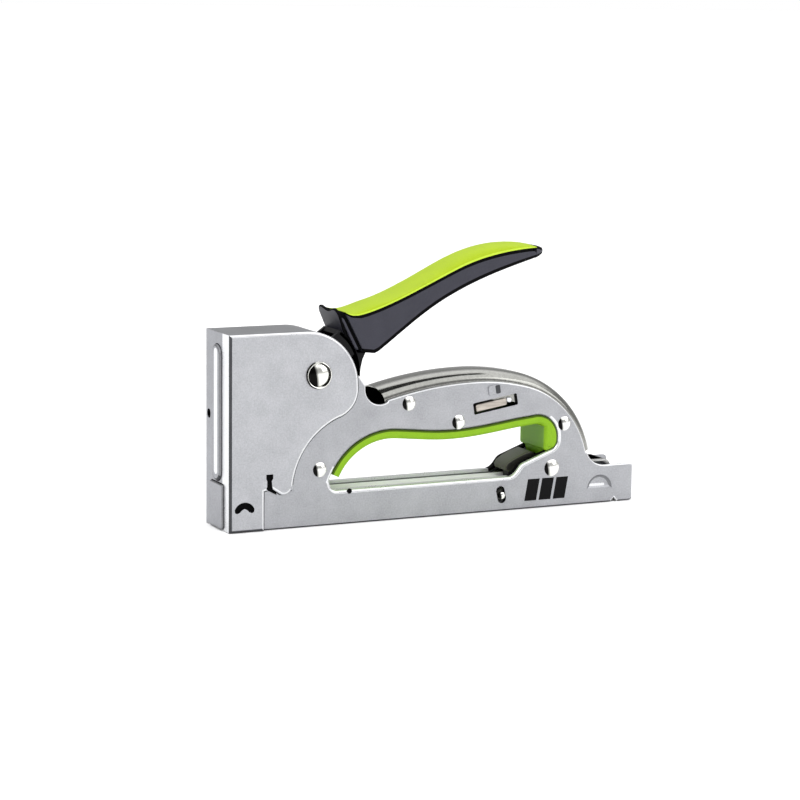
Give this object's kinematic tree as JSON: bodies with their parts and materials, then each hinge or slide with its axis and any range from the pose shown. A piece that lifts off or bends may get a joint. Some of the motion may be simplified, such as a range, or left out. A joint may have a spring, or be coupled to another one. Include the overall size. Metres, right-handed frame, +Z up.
{
  "type": "staple gun",
  "caption": "Hand staple gun: pressed steel body with a hand loop, a squeeze lever that lifts a spring-driven blade, and a slide-out staple magazine.",
  "frame": {"origin": "where the staple leaves: on the base plane, on the middle plane, below the driver blade", "axes": "+X from the nose to the tail, along the base; +Y across the body; +Z up, away from the surface that is stapled"},
  "size_m": [0.1867, 0.0292, 0.1115],
  "materials": {
    "plated_steel": "satin metallic grey",
    "nose_steel": "satin metallic grey, slightly lighter",
    "spine_steel": "glossy metallic grey",
    "inner_steel": "plain zinc-plated steel",
    "slide_steel": "brushed warm grey steel",
    "spring_steel": "spring wire",
    "black_steel": "gloss black",
    "chrome": "polished",
    "green_rubber": "satin lime green",
    "charcoal_plastic": "satin dark grey",
    "black_plastic": "matte black",
    "black_rubber": "matte"
  },
  "bodies": {
    "body": {"left_side_plate": "plated_steel", "right_side_plate": "plated_steel", "nose_cover": "nose_steel", "handle_spine": "spine_steel", "loop_grip": "green_rubber", "pivot_rivet": "chrome", "body_rivets": "chrome", "latch_pin": "chrome", "driver_guide": "inner_steel", "spring_cap": "inner_steel", "mainspring": "spring_steel", "bumper": "black_rubber", "magazine_channel": "inner_steel"},
    "lever": {"lever_core": "black_steel", "lever_cover": "charcoal_plastic", "lever_grip": "green_rubber", "return_spring": "spring_steel"},
    "plunger": {"plunger": "inner_steel", "driver_blade": "inner_steel"},
    "magazine": {"magazine_rail": "inner_steel", "guide_rod": "chrome", "magazine_cap": "inner_steel", "pusher_spring": "spring_steel"},
    "pusher": {"pusher": "inner_steel"},
    "latch": {"magazine_latch": "black_plastic", "latch_studs": "chrome", "latch_spring": "spring_steel"},
    "selector": {"selector_slide": "slide_steel"}
  },
  "joints": [
    {"name": "lever_squeeze", "type": "hinge", "parent": "body", "child": "lever", "pos_m": [0.0348, 0, 0.0617], "axis": [0, 1, 0], "range_deg": [0, 25], "stiffness_Nm_per_rad": 6, "springref_deg": -17.19},
    {"name": "plunger_lift", "type": "slide", "parent": "body", "child": "plunger", "axis": [0, 0, 1], "range_m": [0, 0.0125], "deforming": ["mainspring"]},
    {"name": "magazine_slide", "type": "slide", "parent": "body", "child": "magazine", "axis": [1, 0, 0], "range_m": [0, 0.1]},
    {"name": "pusher_feed", "type": "slide", "parent": "magazine", "child": "pusher", "axis": [1, 0, 0], "range_m": [0, 0.09], "stiffness_N_per_m": 40, "springref_m": -0.05, "deforming": ["pusher_spring"]},
    {"name": "latch_lift", "type": "hinge", "parent": "body", "child": "latch", "pos_m": [0.1426, 0, 0.0165], "axis": [0, 1, 0], "range_deg": [0, 6], "stiffness_Nm_per_rad": 0.2, "springref_deg": -17.19},
    {"name": "selector_travel", "type": "slide", "parent": "body", "child": "selector", "axis": [0.9877, 0, 0.1564], "range_m": [0, 0.002]}
  ],
  "couplings": [
    {"joint": "plunger_lift", "follows": "lever_squeeze", "m_per_rad": 0.02734}
  ]
}
